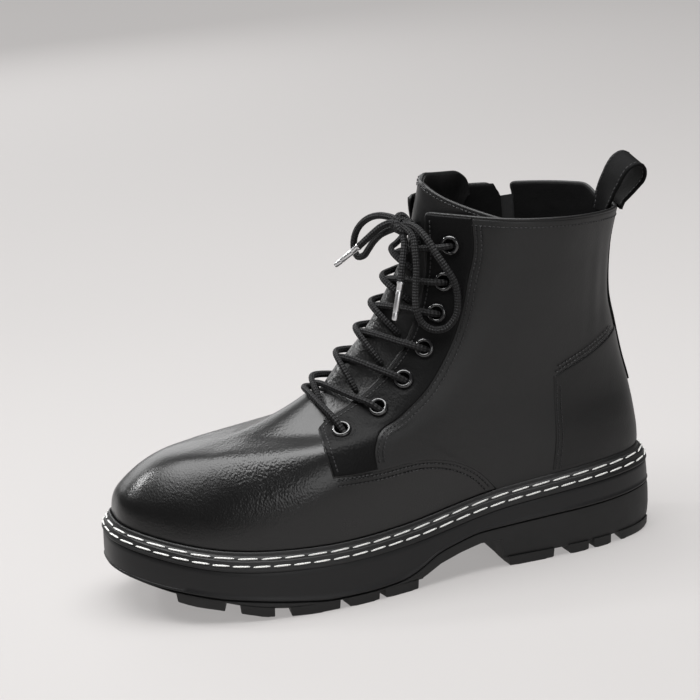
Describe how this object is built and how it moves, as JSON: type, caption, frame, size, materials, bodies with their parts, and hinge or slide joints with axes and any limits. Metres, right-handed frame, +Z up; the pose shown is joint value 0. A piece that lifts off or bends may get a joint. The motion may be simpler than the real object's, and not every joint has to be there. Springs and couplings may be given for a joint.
{
  "type": "motorcycle boot",
  "caption": "Ankle-high lace-up motorcycle boot with eyelets, an inner-side zip, a pull loop and a chunky stitched rubber sole.",
  "frame": {"origin": "on the floor, under the middle of the boot's length and width", "axes": "+X to the toe, +Y to the outer (lateral) side of this left boot, +Z up"},
  "size_m": [0.3002, 0.1025, 0.2039],
  "materials": {
    "leather": "smooth black box leather, semi-matt",
    "tongue_leather": "soft black leather",
    "insole_cloth": "black cloth",
    "tread_rubber": "matt black",
    "sidewall_rubber": "satin black",
    "welt_rubber": "matt black",
    "loop_webbing": "folded black leather strip",
    "lace_cord": "braided black polyester",
    "aglet_tip": "bright crimped metal tube",
    "eyelet_black": "gloss black",
    "zip_tape": "woven black tape",
    "zip_metal": "bright nickel"
  },
  "bodies": {
    "boot": {"aglet_front": "aglet_tip", "aglet_medial": "aglet_tip", "eyelet_lateral_1": "eyelet_black", "eyelet_lateral_2": "eyelet_black", "eyelet_lateral_3": "eyelet_black", "eyelet_lateral_4": "eyelet_black", "eyelet_lateral_5": "eyelet_black", "eyelet_lateral_6": "eyelet_black", "eyelet_lateral_7": "eyelet_black", "eyelet_medial_1": "eyelet_black", "eyelet_medial_2": "eyelet_black", "eyelet_medial_3": "eyelet_black", "eyelet_medial_4": "eyelet_black", "eyelet_medial_5": "eyelet_black", "eyelet_medial_6": "eyelet_black", "eyelet_medial_7": "eyelet_black", "insole": "insole_cloth", "lace_bar": "lace_cord", "lace_cross_1": "lace_cord", "lace_cross_2": "lace_cord", "lace_cross_3": "lace_cord", "lace_cross_4": "lace_cord", "lace_cross_5": "lace_cord", "lace_cross_6": "lace_cord", "lace_end_front": "lace_cord", "lace_end_medial": "lace_cord", "lace_knot": "lace_cord", "lace_loop_lateral": "lace_cord", "lace_loop_medial": "lace_cord", "lace_top": "lace_cord", "midsole": "sidewall_rubber", "outsole": "tread_rubber", "pull_loop": "loop_webbing", "tongue": "tongue_leather", "upper": "leather", "welt": "welt_rubber", "zip_chain": "zip_tape", "zip_slider": "zip_metal"},
    "zip_pull": {"zip_pull": "zip_metal"}
  },
  "joints": [
    {"name": "zip_pull_hinge", "type": "hinge", "parent": "boot", "child": "zip_pull", "pos_m": [-0.09047, -0.04168, 0.17193], "axis": [-0.9833, 0.1818, -0.0118], "range_deg": [0, 160]}
  ]
}
